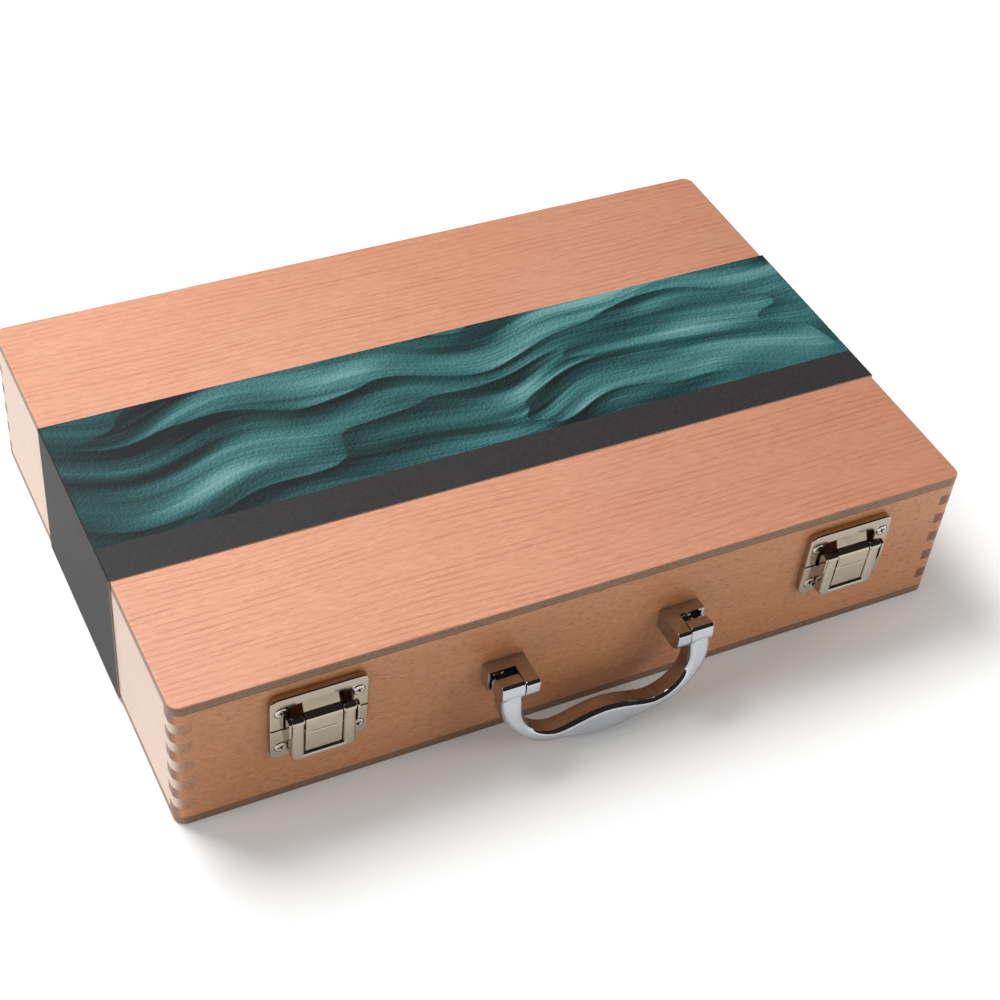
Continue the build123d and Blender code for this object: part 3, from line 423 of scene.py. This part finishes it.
def printed_card():
    # Swept teal paint, a charcoal strip and charcoal flaps on card.
    material, tree, shader = new_material("teal_printed_card")
    where = add(tree, "ShaderNodeTexCoord")
    axes = add(tree, "ShaderNodeSeparateXYZ", _0=where.outputs["Object"])
    aside = add(tree, "ShaderNodeVectorMath", {"operation": "ADD"}, _0=where.outputs["Object"],
                _1=light_step)
    here, crease = paint_height(tree, where.outputs["Object"])
    there, _ = paint_height(tree, aside.outputs[0])
    slope = add(tree, "ShaderNodeMath", {"operation": "SUBTRACT"}, _0=here, _1=there)
    lit = add(tree, "ShaderNodeMath", {"operation": "MULTIPLY_ADD"}, _0=slope.outputs[0], _1=relief_gain,
              _2=middle_tone)
    deep = add(tree, "ShaderNodeMath", {"operation": "MULTIPLY_ADD"}, _0=crease, _1=crease_light,
               _2=lit.outputs[0])
    tone = add(tree, "ShaderNodeMath", {"operation": "MULTIPLY_ADD"}, _0=axes.outputs["X"],
               _1=paler_to_right, _2=deep.outputs[0])
    teals = [(0.2, "0d1519"), (0.38, "12393b"), (0.52, "245355"), (0.68, "3f7577"), (0.9, "6f9c9e")]
    paint = add(tree, "ShaderNodeValToRGB", stops=teals, Fac=tone.outputs[0])
    front_strip = add(tree, "ShaderNodeMath", {"operation": "LESS_THAN"}, _0=axes.outputs["Y"],
                      _1=band_low.y + strip_wide)
    across = add(tree, "ShaderNodeMath", {"operation": "ABSOLUTE"}, _0=axes.outputs["X"])
    flap = add(tree, "ShaderNodeMath", {"operation": "GREATER_THAN"}, _0=across.outputs[0],
               _1=band_high.x - card_edge)
    plain = add(tree, "ShaderNodeMath", {"operation": "MAXIMUM"}, _0=front_strip.outputs[0],
                _1=flap.outputs[0])
    fibre = add(tree, "ShaderNodeTexNoise", Vector=where.outputs["Object"], Scale=1 / fibre_size, Detail=3)
    ink = add(tree, "ShaderNodeValToRGB", stops=[(0.3, "2c2a2b"), (0.7, "373536")], Fac=fibre.outputs["Fac"])
    charcoal = add(tree, "ShaderNodeMix", {"data_type": "RGBA", "blend_type": "MULTIPLY"},
                   Factor=flap.outputs[0], _6=ink.outputs[0], _7=linear("8c8c8c"))
    printed = add(tree, "ShaderNodeMix", {"data_type": "RGBA"}, Factor=plain.outputs[0],
                  _6=paint.outputs[0], _7=charcoal.outputs[2])
    facing = add(tree, "ShaderNodeSeparateXYZ", _0=where.outputs["Normal"])
    sideways = add(tree, "ShaderNodeMath", {"operation": "MULTIPLY"}, _0=facing.outputs["X"],
                   _1=axes.outputs["X"])
    outward = add(tree, "ShaderNodeMath", {"operation": "MULTIPLY_ADD"}, _0=sideways.outputs[0],
                  _1=1 / band_high.x, _2=facing.outputs["Z"])
    outside = add(tree, "ShaderNodeMath", {"operation": "GREATER_THAN"}, _0=outward.outputs[0], _1=0.5)
    board = add(tree, "ShaderNodeValToRGB", stops=[(0.3, "a9a297"), (0.7, "b9b3a8")],
                Fac=fibre.outputs["Fac"])
    colour = add(tree, "ShaderNodeMix", {"data_type": "RGBA"}, Factor=outside.outputs[0],
                 _6=board.outputs[0], _7=printed.outputs[2])
    tree.links.new(colour.outputs[2], shader.inputs["Base Color"])
    rough = add(tree, "ShaderNodeMapRange", Value=fibre.outputs["Fac"], To_Min=0.5, To_Max=0.62)
    tree.links.new(rough.outputs[0], shader.inputs["Roughness"])
    bump = add(tree, "ShaderNodeBump", Strength=0.05, Distance=0.0001, Height=fibre.outputs["Fac"])
    tree.links.new(bump.outputs[0], shader.inputs["Normal"])
    shader.inputs["IOR"].default_value = 1.5
    shader.inputs["Specular IOR Level"].default_value = 0.3
    return material


dress(printed_card(), "card_band")
print("band is", round((band_high.y - band_low.y) * 1000, 1), "mm wide")

# %% [markdown]
# The box stands on a large sheet of white paper. To be a clean white in the picture and still keep
# the shadow, the paper adds a little light of its own that only the camera and mirrors see. The
# glow grows with the distance from a point left of the box's middle, so the shadow fades sooner on
# the right, and the paper ends in plain white from any side. It lights nothing on the box.

# %% floor
reach = 6.0
below_box = 0.0002
glow_middle_x = -0.09
glow_start, glow_end = 0.22, 1.0
glow_near, glow_far = 0.07, 0.95
floor_mesh = bpy.data.meshes.new("floor")
floor_mesh.from_pydata([(-reach, -reach, 0), (reach, -reach, 0), (reach, reach, 0), (-reach, reach, 0)], [],
                       [(0, 1, 2, 3)])
floor = bpy.data.objects.new("floor", floor_mesh)
bpy.context.scene.collection.objects.link(floor)
floor.location = (glow_middle_x, 0, -below_box)
paper = bpy.data.materials.new("white_paper_floor")
paper.use_nodes = True
paper_tree = paper.node_tree
paper_tree.nodes.clear()
ray = add(paper_tree, "ShaderNodeLightPath")
seen = add(paper_tree, "ShaderNodeMath", {"operation": "MAXIMUM"}, _0=ray.outputs["Is Camera Ray"],
           _1=ray.outputs["Is Glossy Ray"])
seen = add(paper_tree, "ShaderNodeMath", {"operation": "MAXIMUM"}, _0=seen.outputs[0],
           _1=ray.outputs["Is Transmission Ray"])
spot = add(paper_tree, "ShaderNodeTexCoord")
away = add(paper_tree, "ShaderNodeVectorMath", {"operation": "LENGTH"}, _0=spot.outputs["Object"])
sweep = add(paper_tree, "ShaderNodeMapRange", {"interpolation_type": "SMOOTHSTEP"},
            Value=away.outputs["Value"], From_Min=glow_start, From_Max=glow_end, To_Min=glow_near,
            To_Max=glow_far)
strength = add(paper_tree, "ShaderNodeMath", {"operation": "MULTIPLY"}, _0=seen.outputs[0],
               _1=sweep.outputs[0])
matt = add(paper_tree, "ShaderNodeBsdfDiffuse", Color=linear("f0f3f5"))
glow = add(paper_tree, "ShaderNodeEmission", Color=(1, 1, 1, 1), Strength=strength.outputs[0])
both = add(paper_tree, "ShaderNodeAddShader", _0=matt.outputs[0], _1=glow.outputs[0])
add(paper_tree, "ShaderNodeOutputMaterial", Surface=both.outputs[0])
floor_mesh.materials.append(paper)
print("floor is", 2 * reach, "m wide, and plain white from", glow_end, "m on")

# %% [markdown]
# The light is a studio's. The shadow in the photo reaches about 65 mm out from the front and hardly
# beyond the right side, so the key light stands behind, a little to the left and about 58 degrees up.
# A low panel on the left makes the left side the brightest. The paper lights the front from below,
# and a weak panel at the right front lightens the front and the shadow on that side. The room in
# front is dark, which only the metal shows: it mirrors the paper below and near black above. The
# light from the room all round is weak and a little warm, which shows in the shadow.

# %% lights


def soft_box(name, place, aim, size, watts, mirrored):
    # A square area lamp that looks from place to aim, and is mirrored in the metal or isn't.
    data = bpy.data.lights.new(name, "AREA")
    data.shape = "SQUARE"
    data.size = size
    data.energy = watts
    lamp = bpy.data.objects.new(name, data)
    direction = Vector(aim) - Vector(place)
    lamp.matrix_world = Matrix.Translation(place) @ direction.to_track_quat("-Z", "Y").to_matrix().to_4x4()
    lamp.visible_glossy = mirrored
    bpy.context.scene.collection.objects.link(lamp)
    return lamp


box_middle = (0, 0, 0.04)
right_half = (0.1, 0, 0.04)
room_light = 0.27
mirrored_paper, mirrored_dark = 0.6, 0.03
soft_box("key_soft_box", (-0.67, 1.08, 2.04), box_middle, size=1.1, watts=53, mirrored=True)
soft_box("left_panel", (-1.9, -0.1, 0.9), box_middle, size=0.9, watts=11, mirrored=False)
soft_box("right_front_panel", (0.95, -0.85, 0.55), right_half, size=0.6, watts=3.6, mirrored=False)
world = bpy.data.worlds.new("studio")
bpy.context.scene.world = world
world.use_nodes = True
world_tree = world.node_tree
world_tree.nodes.clear()
ray = add(world_tree, "ShaderNodeLightPath")
sky = add(world_tree, "ShaderNodeTexCoord")
up = add(world_tree, "ShaderNodeSeparateXYZ", _0=sky.outputs["Generated"])
ceiling = add(world_tree, "ShaderNodeMapRange", Value=up.outputs["Z"], From_Min=-0.02, From_Max=0.1,
              To_Min=mirrored_paper, To_Max=mirrored_dark)
mirrored = add(world_tree, "ShaderNodeMix", Factor=ray.outputs["Is Glossy Ray"],
               _2=room_light, _3=ceiling.outputs[0])
level = add(world_tree, "ShaderNodeMath", {"operation": "MAXIMUM"}, _0=mirrored.outputs[0],
            _1=ray.outputs["Is Camera Ray"])
warmth = add(world_tree, "ShaderNodeMix", {"data_type": "RGBA"}, Factor=ray.outputs["Is Camera Ray"],
             _6=linear("fff7ee"), _7=(1, 1, 1, 1))
air = add(world_tree, "ShaderNodeBackground", Color=warmth.outputs[2], Strength=level.outputs[0])
add(world_tree, "ShaderNodeOutputWorld", Surface=air.outputs[0])
bpy.context.scene.view_settings.view_transform = "Standard"
